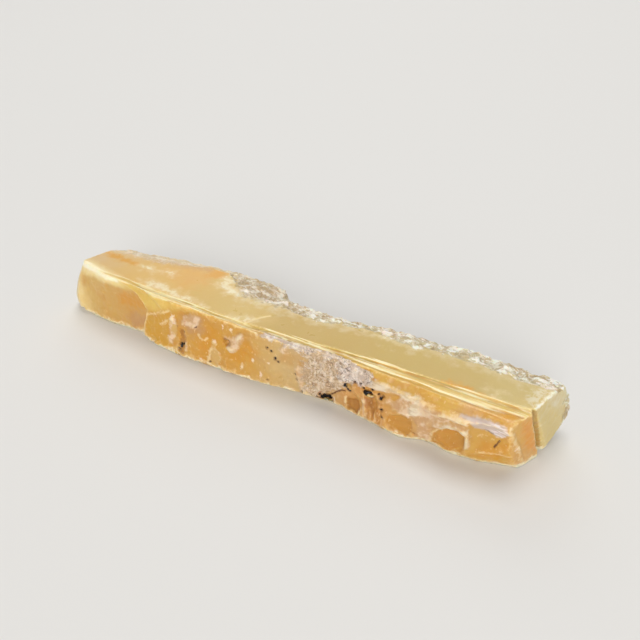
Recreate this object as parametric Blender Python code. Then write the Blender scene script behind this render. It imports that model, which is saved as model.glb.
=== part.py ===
"""Hokkaidoite slice: a sawn sliver of layered, waxy opal-like stone, one solid.

The slice lies on its sawn underside along X. The sawn top is flat. The amber layer is at
the front (-Y), the pale layer behind it, and the rough rind of the vein is at the back (+Y).
The origin is under the middle of the slice, on the surface it rests on. All the sizes
below are in millimetres.
"""

import math

import bmesh
import bpy
from mathutils import Vector, noise

MM = 0.001

# Driving dimensions
THICKNESS = 10.6  # between the two sawn faces
STATION_PITCH = 1.1  # spacing of the cross-sections along X
FIRST_STATION, LAST_STATION = -47.0, 48.0  # past both broken ends, which are cut afterwards
SEAM_LEDGE = 0.35  # how far the amber strip lies below the pale top
RIM_DROP = 0.8  # how far the back rim lies below the sawn top

# Plan outlines, as (x, y)
FRONT_FOOT = [
    (-47, -4.6), (-45, -5.3), (-42.4, -6.8), (-34, -7.1), (-27, -6.5), (-25.8, -6.2), (-23.5, -8.0),
    (-18.5, -8.4), (-6, -7.8), (0.5, -7.2), (6, -6.1), (13, -5.6), (19, -6.6), (25, -7.3),
    (28.5, -5.9), (32.5, -6.5), (36.5, -6.0), (40, -4.8), (42, -4.3), (48, -0.8),
]
RIDGE_LINE = [
    (-47, -4.6), (-40, -5.5), (-33.5, -6.9), (-23, -7.9), (-12, -7.5), (0.5, -7.5), (11, -6.9),
    (20, -6.8), (24.5, -7.1), (28, -7.6), (34.5, -8.0), (40, -7.9), (48, -7.6),
]
LOWER_VEIN = [  # behind the bevel that runs along the front ridge
    (-47, -4.5), (-40, -5.4), (-33.5, -6.8), (-23, -7.75), (-12, -7.25), (-0.6, -6.75), (0.6, -7.3),
    (8, -6.9), (24, -5.8), (35.5, -6.4), (41.5, -6.7), (48, -6.8),
]
SEAM_LINE = [  # the amber layer's top edge at the pale seam
    (-47, -4.4), (-40, -5.3), (-33.5, -6.7), (-23, -7.6), (-12, -7.1), (0, -6.3), (8, -5.7),
    (14, -5.0), (26.5, -4.3), (34, -4.0), (42, -3.5), (48, -3.2),
]
RIND_LINE = [  # where the smooth top ends and the rough rind begins
    (-47, -1.0), (-40, 0.2), (-32.5, 1.4), (-24, 2.9), (-17.5, 2.4), (-10, 1.4), (-6, 0.5),
    (-1, 0.4), (4, 0.0), (10, 0.6), (20, 1.7), (23, 1.0), (32, 2.6), (41.5, 2.3), (48, 2.2),
]
BACK_RIM = [
    (-47, 1.0), (-40, 1.8), (-36, 3.5), (-30.5, 4.8), (-22, 6.4), (-15, 7.3), (-7.5, 7.3),
    (-3.2, 6.5), (-2.8, 4.3), (1.5, 3.9), (8, 4.0), (14, 4.9), (17, 5.5), (24.5, 5.7), (29, 6.5),
    (34, 6.2), (43, 6.1), (48, 5.8),
]
BACK_BELLY = [
    (-47, 2.8), (-40, 4.6), (-34, 6.4), (-22, 8.1), (-8, 8.4), (-3.2, 7.9), (-2.4, 6.6),
    (10, 6.6), (24, 7.5), (33, 8.1), (48, 8.4),
]
BACK_FOOT = [
    (-47, 0.4), (-40, 2.2), (-34, 4.0), (-20, 5.4), (-6, 5.6), (2, 4.4), (20, 4.4), (34, 5.2),
    (48, 5.0),
]

# Heights along the slice, as (x, z)
SKIRT_HEIGHT = [(-47, 0.5), (8, 0.5), (14, 0.9), (24, 1.1), (48, 1.1)]  # the foot's undercut
RIDGE_HEIGHT = [(-47, 10.4), (-0.5, 10.4), (0.5, 10.0), (11, 9.8), (20, 9.4), (25, 8.7), (48, 8.5)]
BELLY_HEIGHT = [(-47, 5.0), (48, 4.5)]
LEDGE_SHARE = [(-0.6, 0.0), (0.6, 1.0)]  # the seam's ledge begins at a step here

SKIRT_OVERHANG = 0.45  # the front swells this far past its foot
FOOT_UNDERCUT = 0.5

# Relief of the natural surfaces, as (height, wavelength) pairs
FRONT_RELIEF = [(0.35, 6.0), (0.18, 2.4)]
RIND_RELIEF = [(0.45, 3.4), (0.35, 1.6)]
BACK_RELIEF = [(0.55, 8.0), (0.25, 3.0)]

# Flake scars, as (x, height, half width, half height, depth)
FRONT_FLAKES = [
    (-29.0, 6.0, 8.6, 5.4, 0.95),
    (-19.4, 3.4, 3.7, 4.0, 0.40),
    (-9.2, 2.6, 2.2, 2.7, 0.35),
    (-1.0, 3.9, 3.6, 3.2, 0.40),
    (17.0, 3.2, 1.5, 1.8, 0.50),
    (25.0, 2.9, 2.4, 2.9, 0.75),
    (32.6, 3.7, 2.9, 2.8, 0.75),
    (38.6, 4.8, 3.2, 3.3, 0.50),
]
BACK_FLAKES = [
    (-31.0, 5.2, 5.2, 3.6, 0.70),
    (-13.5, 3.6, 4.4, 2.9, 0.60),
    (7.0, 4.8, 4.8, 3.4, 0.70),
    (20.0, 3.2, 3.2, 2.4, 0.50),
    (36.5, 4.2, 5.0, 3.2, 0.70),
]
SCAR_SPHERE_HALF_DEPTH = 2.2

# Small vugs in the front's weathered patch, as (x, height, radius)
VUGS = [
    (-16.8, 1.6, 0.55), (3.2, 6.7, 0.40), (11.8, 1.7, 0.95), (15.9, 6.0, 0.50),
    (19.4, 6.3, 0.70), (21.6, 6.7, 0.50), (-6.3, 6.3, 0.65),
]

# Broken ends: a point on each plane and its outward direction
END_PLANES = [
    ((-41.2, -5.5, 10.6), (-0.878, 0.255, 0.404)),  # left end, leaning in towards the top
    ((-45.2, -5.4, 1.9), (-0.93, -0.05, -0.36)),  # its foot
    ((-44.4, -6.0, 5.0), (-0.72, -0.68, 0.12)),  # its front corner
    ((-40.0, 2.6, 9.4), (-0.66, 0.62, 0.42)),  # its back corner
    ((42.1, -3.9, 10.6), (0.962, -0.27, 0.052)),  # right end
    ((44.4, 3.0, 0.9), (0.75, 0.10, -0.65)),  # its foot
    ((44.3, 5.0, 10.0), (0.62, 0.62, 0.48)),  # its back top corner
]

# The amber layer ends a little short of the pale one, and the seam between them gapes there.
# Both outlines run from the gap's tip to its pale side, round the waste and back to its amber side.
GAP_TOP = [(41.2, -3.45), (42.5, -3.2), (50, -3.2), (50, -12), (38.5, -12), (42.2, -3.75)]
GAP_FOOT = [(41.3, 0.5), (43.9, 1.8), (50, 1.8), (50, -12), (38.4, -12), (43.9, 0.35)]

CENTRE = (0.3, -0.18)  # middle of the finished slice in the outlines' own frame

AMBER = (0.62, 0.34, 0.09, 1.0)


def clear_scene():
    for obj in list(bpy.data.objects):
        bpy.data.objects.remove(obj, do_unlink=True)


def along(points, x):
    """The outline's value at x, with straight runs between its points."""
    for (x0, v0), (x1, v1) in zip(points, points[1:]):
        if x <= x1:
            share = min(max((x - x0) / (x1 - x0), 0.0), 1.0)
            return v0 + (v1 - v0) * share
    return points[-1][1]


def relief(layers, place):
    """Seeded lumps: each layer is a height and a wavelength."""
    height = 0.0
    for index, (size, wavelength) in enumerate(layers):
        offset = Vector((17.3 * index, 5.1, 9.7))
        height += size * noise.noise(place / wavelength + offset)
    return height


def corners(x):
    """The cross-section's corners at x, as (y, z), from the front foot up and round the back."""
    ledge = SEAM_LEDGE * along(LEDGE_SHARE, x)
    seam = along(SEAM_LINE, x)
    return [
        (along(FRONT_FOOT, x) + FOOT_UNDERCUT, 0.0),
        (along(FRONT_FOOT, x) - SKIRT_OVERHANG, along(SKIRT_HEIGHT, x)),
        (along(RIDGE_LINE, x), along(RIDGE_HEIGHT, x)),
        (along(LOWER_VEIN, x), THICKNESS - ledge - 0.05),
        (seam, THICKNESS - ledge),
        (seam + 0.18, THICKNESS),
        (along(RIND_LINE, x), THICKNESS),
        (along(BACK_RIM, x), THICKNESS - RIM_DROP),
        (along(BACK_BELLY, x), along(BELLY_HEIGHT, x)),
        (along(BACK_FOOT, x), 0.0),
    ]


# For each side of the cross-section, from its corner to the next: how many points, and its relief
SIDES = [
    (1, []),
    (7, FRONT_RELIEF),
    (2, []),
    (1, []),
    (1, []),
    (1, []),
    (4, RIND_RELIEF),
    (5, BACK_RELIEF),
    (4, BACK_RELIEF),
    (1, []),
]


def ring(x):
    """One closed cross-section of the slice, its natural sides pushed in and out by their relief."""
    points = []
    section = corners(x)
    for side, (count, layers) in enumerate(SIDES):
        y0, z0 = section[side]
        y1, z1 = section[(side + 1) % len(section)]
        outward = Vector((0.0, z1 - z0, y0 - y1)).normalized() * -1.0
        for step in range(count):
            share = step / count
            place = Vector((x, y0 + (y1 - y0) * share, z0 + (z1 - z0) * share))
            if step or layers is RIND_RELIEF:
                place += outward * relief(layers, place)
            place.z = min(max(place.z, 0.0), THICKNESS)
            points.append(place)
    return points


def stations():
    count = round((LAST_STATION - FIRST_STATION) / STATION_PITCH)
    return [FIRST_STATION + (LAST_STATION - FIRST_STATION) * i / count for i in range(count + 1)]


def loft_bar(bm):
    """Joins the cross-sections into one closed bar."""
    rings = [[bm.verts.new(place * MM) for place in ring(x)] for x in stations()]
    for near, far in zip(rings, rings[1:]):
        for i in range(len(near)):
            j = (i + 1) % len(near)
            bm.faces.new((near[i], near[j], far[j], far[i]))
    bm.faces.new(list(reversed(rings[0])))
    bm.faces.new(rings[-1])
    bmesh.ops.recalc_face_normals(bm, faces=bm.faces)


def break_end(bm, place, outward):
    """Cuts the bar at a plane and closes the cut."""
    geometry = bm.verts[:] + bm.edges[:] + bm.faces[:]
    cut = bmesh.ops.bisect_plane(
        bm,
        geom=geometry,
        plane_co=Vector(place) * MM,
        plane_no=Vector(outward).normalized(),
        clear_outer=True,
        dist=1e-6,
    )
    rim = [item for item in cut["geom_cut"] if isinstance(item, bmesh.types.BMEdge)]
    bmesh.ops.holes_fill(bm, edges=rim)


def new_object(name, bm):
    bmesh.ops.translate(bm, vec=Vector((*CENTRE, 0.0)) * -MM, verts=bm.verts)
    mesh = bpy.data.meshes.new(name)
    bmesh.ops.triangulate(bm, faces=[face for face in bm.faces if len(face.verts) > 4])
    bm.to_mesh(mesh)
    bm.free()
    obj = bpy.data.objects.new(name, mesh)
    bpy.context.scene.collection.objects.link(obj)
    return obj


def as_cutter(obj):
    obj.hide_render = True
    obj.display_type = "WIRE"
    return obj


def subtract(target, cutter):
    modifier = target.modifiers.new(cutter.name, "BOOLEAN")
    modifier.operation = "DIFFERENCE"
    modifier.solver = "EXACT"
    modifier.object = cutter


def ellipsoid(name, centre, half_sizes, subdivisions=3):
    bm = bmesh.new()
    bmesh.ops.create_icosphere(bm, subdivisions=subdivisions, radius=1.0)
    bmesh.ops.scale(bm, vec=Vector(half_sizes) * MM, verts=bm.verts)
    bmesh.ops.translate(bm, vec=Vector(centre) * MM, verts=bm.verts)
    return as_cutter(new_object(name, bm))


def side_surface(lower, upper, lower_height, upper_height, x, z):
    """y of a side that runs straight between two outlines."""
    z0, z1 = lower_height, upper_height
    share = min(max((z - z0) / (z1 - z0), 0.0), 1.0)
    return along(lower, x) + (along(upper, x) - along(lower, x)) * share


def front_surface(x, z):
    foot_to_ridge = side_surface(FRONT_FOOT, RIDGE_LINE, 0.0, along(RIDGE_HEIGHT, x), x, z)
    return foot_to_ridge - SKIRT_OVERHANG * (1 - z / THICKNESS)


def back_surface(x, z):
    belly = along(BELLY_HEIGHT, x)
    if z < belly:
        return side_surface(BACK_FOOT, BACK_BELLY, 0.0, belly, x, z)
    return side_surface(BACK_BELLY, BACK_RIM, belly, THICKNESS - RIM_DROP, x, z)


def flake_cutter(name, surface_y, outward, flake):
    """A shallow lens: an ellipsoid that dips below the surface by the flake's depth."""
    x, z, half_width, half_height, depth = flake
    half_depth = SCAR_SPHERE_HALF_DEPTH
    spread = math.sqrt(1 - ((half_depth - depth) / half_depth) ** 2)
    centre = (x, surface_y + outward * (half_depth - depth), z)
    return ellipsoid(name, centre, (half_width / spread, half_depth, half_height / spread))


def gap_cutter():
    """Clears the amber layer's end and the gaping seam, between two outlines."""
    bm = bmesh.new()
    foot = [bm.verts.new(Vector((x, y, -0.5)) * MM) for x, y in GAP_FOOT]
    top = [bm.verts.new(Vector((x, y, THICKNESS + 0.5)) * MM) for x, y in GAP_TOP]
    for i in range(len(foot)):
        j = (i + 1) % len(foot)
        bm.faces.new((foot[i], foot[j], top[j], top[i]))
    bm.faces.new(foot)
    bm.faces.new(top)
    bmesh.ops.triangulate(bm, faces=bm.faces)
    bmesh.ops.recalc_face_normals(bm, faces=bm.faces)
    return as_cutter(new_object("cut_gap", bm))


def stone_material():
    material = bpy.data.materials.new("amber_stone")
    material.use_nodes = True
    shader = material.node_tree.nodes["Principled BSDF"]
    shader.inputs["Base Color"].default_value = AMBER
    shader.inputs["Roughness"].default_value = 0.38
    shader.inputs["Metallic"].default_value = 0.0
    return material


def build_slice():
    bm = bmesh.new()
    loft_bar(bm)
    for place, outward in END_PLANES:
        break_end(bm, place, outward)
    stone = new_object("slice", bm)
    stone.data.materials.append(stone_material())
    for number, flake in enumerate(FRONT_FLAKES, 1):
        surface = front_surface(flake[0], flake[1])
        subtract(stone, flake_cutter(f"cut_front_flake_{number}", surface, -1, flake))
    for number, flake in enumerate(BACK_FLAKES, 1):
        surface = back_surface(flake[0], flake[1])
        subtract(stone, flake_cutter(f"cut_back_flake_{number}", surface, 1, flake))
    for number, (x, z, radius) in enumerate(VUGS, 1):
        centre = (x, front_surface(x, z) + 0.2 * radius, z)
        half_sizes = (radius, 1.2 * radius, 0.8 * radius)
        subtract(stone, ellipsoid(f"cut_vug_{number}", centre, half_sizes, subdivisions=2))
    subtract(stone, gap_cutter())
    return stone


clear_scene()
build_slice()
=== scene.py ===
# %% [markdown]
# # A slice of banded, waxy stone
#
# The real thing is one natural piece: a bar sawn out of a vein of waxy, opal-like mineral. Its
# top and base are flat saw cuts. An amber layer runs along the front, a pale honey layer lies
# behind it, thin cream veins part the two, and the back edge still has the rough rind of the
# vein. The plan is to take the plain solid that has the right size, give its surface fine
# relief, measure where each layer and patch lies, and let one material paint what was measured.

# %% Load the plain solid
import math

import bmesh
import bpy
import numpy as np
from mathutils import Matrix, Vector, noise


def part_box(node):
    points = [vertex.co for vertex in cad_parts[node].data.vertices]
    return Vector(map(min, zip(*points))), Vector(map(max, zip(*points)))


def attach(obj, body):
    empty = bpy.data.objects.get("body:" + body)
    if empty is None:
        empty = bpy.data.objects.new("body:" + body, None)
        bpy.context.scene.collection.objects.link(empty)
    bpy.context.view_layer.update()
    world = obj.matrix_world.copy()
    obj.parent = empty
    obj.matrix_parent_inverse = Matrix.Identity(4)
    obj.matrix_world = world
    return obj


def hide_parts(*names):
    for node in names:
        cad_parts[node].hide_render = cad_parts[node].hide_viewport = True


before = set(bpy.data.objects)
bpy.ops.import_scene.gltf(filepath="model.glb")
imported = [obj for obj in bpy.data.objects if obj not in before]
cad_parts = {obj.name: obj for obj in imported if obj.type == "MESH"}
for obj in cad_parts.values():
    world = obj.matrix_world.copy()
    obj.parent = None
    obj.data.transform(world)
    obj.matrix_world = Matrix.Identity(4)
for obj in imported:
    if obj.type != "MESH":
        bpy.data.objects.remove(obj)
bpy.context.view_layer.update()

MM = 0.001
FAR_OUTSIDE = -9.0  # in millimetres, more than any patch could be frayed by
cad_low, cad_high = (np.array(corner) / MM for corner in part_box("slice"))
THICK = cad_high[2]
print("plain solid, mm:", np.round(cad_high - cad_low, 2))

# %% [markdown]
# ## The veins and the rind, drawn from above
#
# A saw cut shows the layers as lines that run the whole length of the slice. Each line here is
# a few (x, y) points in millimetres, and numpy's interp reads the line anywhere between them.
# Drawing them once lets the relief and the colours agree with each other.

# %% Lines on the sawn top
SEAM = [(-42, -5.4), (-34, -5.9), (-27, -5.9), (-20, -6.0), (-14, -6.2), (-8, -6.35), (-3.5, -6.35), (0, -6.0),
        (4, -5.6), (8, -5.2), (12, -4.9), (16, -4.6), (20, -4.25), (26, -4.1), (33.7, -3.85), (38, -3.5), (44, -3.1)]
FRONT_VEIN = [(-42, -5.2), (-39, -5.5), (-34, -6.5), (-29, -6.8), (-20, -7.2), (-13, -7.1), (-8, -6.9), (0, -6.6),
              (6, -6.4), (10, -6.4), (14, -6.6), (20, -6.9), (27, -7.3), (44, -7.6)]
MIDDLE_VEIN = [(0, -6.1), (4, -5.85), (10, -5.35), (14, -5.1), (18, -5.2), (24, -5.4), (30, -5.55), (34, -5.35),
               (38, -5.0), (44, -4.4)]
RIND = [(-42, -0.1), (-39, 0.3), (-35, 0.9), (-30.5, 1.4), (-26, 2.2), (-22, 4.0), (-19, 5.6), (-15.2, 5.6),
        (-13.2, 4.2), (-11.8, 2.4), (-10.4, 1.4), (-8.6, 0.1), (-6, 0.2), (-2, 0.4), (2.2, 0.6), (5.8, 0.3),
        (10.4, 1.5), (13.6, 2.4), (16, 2.4), (20, 1.8), (23, 1.8), (25, 2.9), (33, 2.7), (39.4, 2.5), (46, 2.4)]
LAYER_DIP = 0.46  # how far the layers lean back for each millimetre down


def line(points, x):
    return np.interp(x, [p[0] for p in points], [p[1] for p in points])


print("the seam crosses the middle at y =", round(float(line(SEAM, 0.0)), 2))

# %% [markdown]
# ## A finer skin for the solid
#
# The plain solid has a few thousand triangles. Fine relief needs points about as close together
# as its smallest grain. A voxel remesh gives an even skin of small squares, here a quarter of a
# millimetre apart, whatever the triangles under it were. It works on a merged copy, because the
# loaded mesh is loose triangles. The squares come out very slightly stepped on sloping faces, so
# a shrinkwrap then lays every point exactly on the plain solid.


# %% Copy, merge and remesh
def fine_copy(source, pitch):
    bm = bmesh.new()
    bm.from_mesh(source.data)
    bmesh.ops.remove_doubles(bm, verts=bm.verts, dist=0.001 * MM)
    mesh = bpy.data.meshes.new("stone")
    bm.to_mesh(mesh)
    bm.free()
    piece = bpy.data.objects.new("stone", mesh)
    bpy.context.scene.collection.objects.link(piece)
    remesh = piece.modifiers.new("skin", "REMESH")
    remesh.mode = "VOXEL"
    remesh.voxel_size = pitch
    snug = piece.modifiers.new("snug", "SHRINKWRAP")
    snug.target = source
    skin = bpy.data.meshes.new_from_object(piece.evaluated_get(bpy.context.evaluated_depsgraph_get()))
    piece.modifiers.clear()
    piece.data = skin
    return piece


SKIN_PITCH = 0.235 * MM
stone = fine_copy(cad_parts["slice"], SKIN_PITCH)
print("skin:", len(stone.data.vertices), "points,", 2 * len(stone.data.polygons), "triangles")

# %% [markdown]
# ## Measuring on the skin
#
# Every later step asks the same questions of each point: where it is, which way it faces, how
# far inside a drawn outline it lies, and how lumpy the stone is there. These helpers answer
# them for all the points at once. Distances are in millimetres and positive means inside.


# %% Helpers for places, outlines and lumps
def places():
    flat = np.empty(len(stone.data.vertices) * 3)
    stone.data.vertices.foreach_get("co", flat)
    return flat.reshape(-1, 3) / MM


def facings():
    flat = np.empty(len(stone.data.vertices) * 3)
    stone.data.vertices.foreach_get("normal", flat)
    return flat.reshape(-1, 3)


def put_back(points):
    stone.data.vertices.foreach_set("co", (points * MM).ravel())
    stone.data.update()


def smooth_step(value, low, high):
    share = np.clip((value - low) / (high - low), 0.0, 1.0)
    return share * share * (3 - 2 * share)


def off_line(points, u, v):
    """Distance from a line of points."""
    best = np.full(len(u), 1e9)
    for (u0, v0), (u1, v1) in zip(points, points[1:]):
        du, dv = u1 - u0, v1 - v0
        share = np.clip(((u - u0) * du + (v - v0) * dv) / (du * du + dv * dv), 0.0, 1.0)
        best = np.minimum(best, np.hypot(u - u0 - share * du, v - v0 - share * dv))
    return best


def inside(outline, u, v):
    """Distance into a closed outline, negative outside it."""
    within = np.zeros(len(u), bool)
    for (u0, v0), (u1, v1) in zip(outline, outline[1:] + outline[:1]):
        if v0 != v1:
            within ^= ((v0 > v) != (v1 > v)) & (u < (u1 - u0) * (v - v0) / (v1 - v0) + u0)
    return np.where(within, 1.0, -1.0) * off_line(outline + outline[:1], u, v)


def deepest(outlines, u, v):
    return np.max([inside(outline, u, v) for outline in outlines], axis=0)


def only_where(on_this_side):
    """Nothing to add on this side, and far outside every patch on the others."""
    return np.where(on_this_side, 0.0, FAR_OUTSIDE)


def nearest(spots, u, v):
    return np.max([radius - np.hypot(u - a, v - b) for a, b, radius in spots], axis=0)


def lumps(points, size, seed=0, stretch=(1, 1, 1)):
    """Smooth noise from -1 to 1, with lumps of the given size."""
    spots = points / (np.array(stretch) * size) + seed * 13.7
    return np.array([noise.noise(spot) for spot in spots.tolist()])


def grit(points, size, seed=0):
    """Rough noise: lumps on lumps."""
    return sum(lumps(points, size / 2**k, seed + k) / 1.6**k for k in range(4)) / 1.8


def averaged(points, rounds):
    """Each point moved to the middle of its neighbours, a number of times."""
    ends = np.array([edge.vertices[:] for edge in stone.data.edges])
    one, two = ends.T
    count = np.bincount(ends.ravel(), minlength=len(points)).astype(float)[:, None]
    for _ in range(rounds):
        total = [
            np.bincount(one, points[two, axis], len(points)) + np.bincount(two, points[one, axis], len(points))
            for axis in range(3)
        ]
        points = np.stack(total, axis=1) / count
    return points


P, N = places(), facings()
print("faces up:", int((N[:, 2] > 0.7).sum()), "points; faces front:", int((N[:, 1] < -0.5).sum()))

# %% [markdown]
# ## Patches on the front face
#
# The front face is the natural wall of the vein. It carries chips, weathered patches, pale
# crusts and small black vugs. Each is drawn as an outline of (x, z) points, as if the face were
# a sheet of paper seen square on. Outlines of the same colour are kept together in one list.
# The weathered patch goes on as a dusty band along the upper edge, so it has a second outline.

# %% Facets and stains on the front
PANEL = [[(-50, -1), (-50, 12), (-32, 11), (-29, 9.6), (-26.4, 8.4), (-25, 7.3), (-24.5, 6.6), (-25, 5.4), (-25.7, 3.4),
          (-25.8, -1)]]
GOLDEN = [
    [(-25, 5.6), (-21.5, 7.0), (-18.6, 8.4), (-18.4, 4.0), (-19.3, -1), (-25.8, -1), (-25.4, 3.2)],
    [(-11.5, 5.2), (-10, 8.8), (-7.4, 8.6), (-6.4, 5.2), (-4.0, 6.4), (-2.0, 8.2), (-1.6, 5.6), (-4.4, 3.2), (-8, 4.6),
     (-10, 4.2)],
]
DEEP_AMBER = [
    [(-32.5, 4.6), (-31.4, 7.2), (-28, 8.3), (-25.9, 7.8), (-25.6, 6.0), (-28.5, 5.0)],
    [(-28.6, 6.2), (-28.2, 7.6), (-26.4, 7.8), (-26.2, 6.6), (-27.4, 6.0)],
    [(-13.8, 3.0), (-11.6, 5.0), (-9.8, 8.6), (-8.2, 8.2), (-8.4, 6.4), (-10.6, 3.0)],
    [(-6.2, 4.2), (-4.2, 5.4), (-2.4, 7.8), (-0.6, 7.2), (-2.2, 4.6), (-5.0, 3.0)],
    [(36.0, 2.0), (36.4, 5.0), (40.6, 6.4), (40.9, 3.4), (39, 1.6)],
]
YELLOW_BEVEL = [[(-42, 11), (-41, 8.2), (-35, 8.8), (-31, 8.3), (-26.6, 8.6), (-24.6, 7.2), (-21.5, 7.4), (-18.4, 9.0),
                 (-12, 9.9), (-4, 10.2), (-4, 11)]]
ROSY = [
    [(-30.4, 2.6), (-28.2, 3.8), (-25.9, 4.2), (-25.7, 1.6), (-28.6, 1.2)],
    [(-16.2, 8.0), (-13, 9.9), (-10.8, 9.4), (-11.6, 7.0), (-14, 5.4), (-15.4, 6.4)],
    [(26.6, 5.0), (31.2, 6.0), (29.6, 3.4), (29.2, 0.8), (27.0, 0.8)],
]
AMBER_SCARS = [
    [(15.4, 3.5), (17.2, 3.7), (17.6, 2.4), (17.2, 0.8), (15.2, 0.8)],
    [(22.2, 2.9), (22.9, 4.1), (24.6, 4.5), (26.1, 4.4), (26.6, 3.0), (26.3, 1.4), (25.3, 0.4), (23.0, 0.6)],
    [(29.4, 1.2), (29.8, 4.0), (31.4, 5.3), (33.2, 5.8), (34.3, 5.5), (34.4, 3.0), (34.0, 0.8)],
    [(18.9, 6.2), (20.3, 6.5), (20.7, 4.0), (20.0, 2.2), (19.2, 3.4)],
]
STAINS = [
    [(-16.4, 6.2), (-15.2, 6.4), (-15.2, 4.6), (-15.0, 3.0), (-15.9, 1.4), (-17.0, 1.2), (-16.6, 3.2), (-16.2, 4.8)],
    [(10.0, 1.0), (10.4, 2.4), (11.6, 2.6), (12.8, 1.8), (12.6, 0.6)],
    [(-7.1, 7.5), (-6.1, 7.4), (-5.4, 6.9), (-5.7, 6.0), (-6.7, 6.0)],
    [(18.6, 6.0), (19.4, 5.8), (20.4, 3.2), (20.2, 1.6), (19.4, 2.6), (18.8, 4.2)],
    [(26.2, 2.3), (27.4, 2.0), (27.6, 1.2), (26.4, 1.6)],
]
BROWN_LINES = [[(11.9, 2.2), (13.3, 3.6), (14.3, 4.5), (15.0, 4.7)], [(38.3, 4.6), (38.6, 5.4), (38.9, 6.2)],
               [(36.9, 7.4), (37.9, 7.15)], [(-13.0, 7.1), (-12.6, 7.5)]]
SPIRE = [(-9.3, 5.8), (-8.8, 5.7), (-8.9, 4.6), (-8.1, 3.7), (-7.7, 2.6), (-8.5, 1.8), (-8.7, 0.8),
         (-10.7, 0.8), (-10.2, 3.4), (-9.5, 4.6)]
TAN = [SPIRE, [(-18.1, 7.2), (-17.0, 7.0), (-16.9, 5.4), (-17.2, 4.0), (-17.9, 3.6), (-18.3, 5.6)]]
print(len(GOLDEN), "golden,", len(ROSY), "rosy,", len(AMBER_SCARS), "scars,", len(STAINS), "stains")

# %% Crusts, the weathered patch and vugs
PINK_CRUSTS = [
    [(-18.2, 7.2), (-17.6, 8.2), (-16.9, 7.6), (-17.2, 6.8)], [(-18.5, 4.4), (-18.2, 6.6), (-17.9, 6.6), (-17.9, 4.0)],
    [(-19.0, 3.6), (-18.2, 4.3), (-17.4, 4.2), (-17.8, 3.2), (-18.3, 2.0), (-18.9, 2.2)],
    [(-15.6, 7.0), (-15.4, 8.4), (-13.6, 9.7), (-11.8, 9.2), (-12.4, 8.1), (-12.9, 7.1), (-14.0, 7.3)],
    [(-7.0, 7.5), (-6.7, 6.6), (-6.4, 5.6), (-5.9, 5.0), (-5.2, 5.1), (-4.6, 5.8), (-3.6, 7.5), (-2.9, 8.8),
     (-3.3, 9.3), (-4.1, 9.0), (-5.2, 7.9), (-6.0, 7.7)],
    [(-15.2, 3.7), (-14.8, 3.8), (-14.8, 2.2), (-15.2, 2.0)],
    [(23.2, 5.2), (22.9, 6.2), (24.3, 7.9), (25.6, 8.5), (27.6, 8.5), (28.8, 6.5), (29.2, 4.0), (29.0, 1.2),
     (27.0, 1.2), (26.9, 4.0), (26.2, 4.9), (24.6, 4.9)],
    [(6.3, 5.6), (6.9, 6.6), (7.9, 6.4), (7.6, 3.0), (7.0, 1.0), (6.4, 3.2)],
    [(21.4, 5.6), (22.8, 7.0), (23.2, 6.8), (22.2, 5.6)],
    [(27.0, 8.8), (29, 8.7), (31.8, 8.6), (34.6, 8.8), (34.8, 7.9), (32.4, 7.8), (31.0, 6.6), (30.6, 5.2), (28.4, 4.4),
     (27.2, 5.6)],
    [(30.8, 5.9), (31.8, 7.2), (33.6, 7.9), (34.5, 7.4), (34.9, 6.0), (34.8, 3.0), (34.4, 2.6), (34.3, 5.4),
     (33.4, 6.2), (32.2, 5.9)],
    [(3.4, 8.4), (4.0, 9.4), (5.4, 9.4), (5.0, 8.6), (4.2, 8.0)],
    [(18.0, 4.6), (18.6, 4.8), (18.9, 2.6), (18.7, 1.5), (18.2, 2.4)],
    [(7.2, 1.6), (8.2, 2.0), (8.4, 1.0), (7.2, 0.8)],
]
WHITE_CRUSTS = [
    [(18.8, 7.9), (19.2, 9.0), (21.0, 9.2), (23, 9.0), (25, 8.9), (27, 9.1), (27.1, 8.3), (25.4, 8.0), (23.6, 8.2),
     (22.0, 7.9), (20.4, 7.5), (19.2, 7.4)],
    [(-6.3, 5.5), (-5.9, 4.9), (-5.3, 5.0), (-5.1, 5.6), (-5.8, 5.8)],
    [(-4.2, 7.6), (-3.2, 8.9), (-3.3, 9.2), (-3.9, 8.8)],
    [(25.9, 5.6), (26.0, 8.2), (27.3, 8.2), (27.5, 6.6), (26.8, 5.4)],
    [(30.4, 8.0), (31.0, 8.5), (34.6, 8.6), (34.6, 8.2), (32.6, 8.0)],
    [(30.4, 5.4), (31.4, 6.6), (33.2, 7.3), (34.6, 7.0), (35.0, 5.6), (35.0, 3.0), (34.5, 3.0), (34.3, 5.8),
     (33.2, 6.2), (31.8, 5.8), (30.8, 4.8)],
    [(-17.9, 7.4), (-17.5, 8.0), (-17.0, 7.4), (-17.3, 6.8)],
    [(7.2, 1.8), (8.2, 2.2), (8.6, 1.4), (7.4, 1.0)],
]
WEATHERED = [
    [(7.2, 4.6), (8.1, 8.0), (8.0, 11.4), (12, 11.4), (17, 11.2), (19.6, 10.0), (19.9, 7.7), (17.6, 6.9),
     (15.6, 6.2), (14.2, 4.7), (12.4, 3.0), (11.2, 1.8), (9.4, 0.6), (7.2, 0.6), (7.8, 3.0)],
    [(0.0, 9.8), (0.2, 11.4), (9, 11.4), (9, 9.2), (6, 9.3), (3, 9.7)],
]
GREY = [[(13.6, 11.4), (17, 11.2), (19.6, 10.0), (19.4, 7.8), (18.2, 7.0), (16.2, 6.9), (14.8, 5.6), (13.6, 6.8)],
        [(0.0, 9.8), (0.2, 11.4), (13.8, 11.4), (13.8, 9.8), (6, 9.4), (3, 9.7)]]
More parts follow.
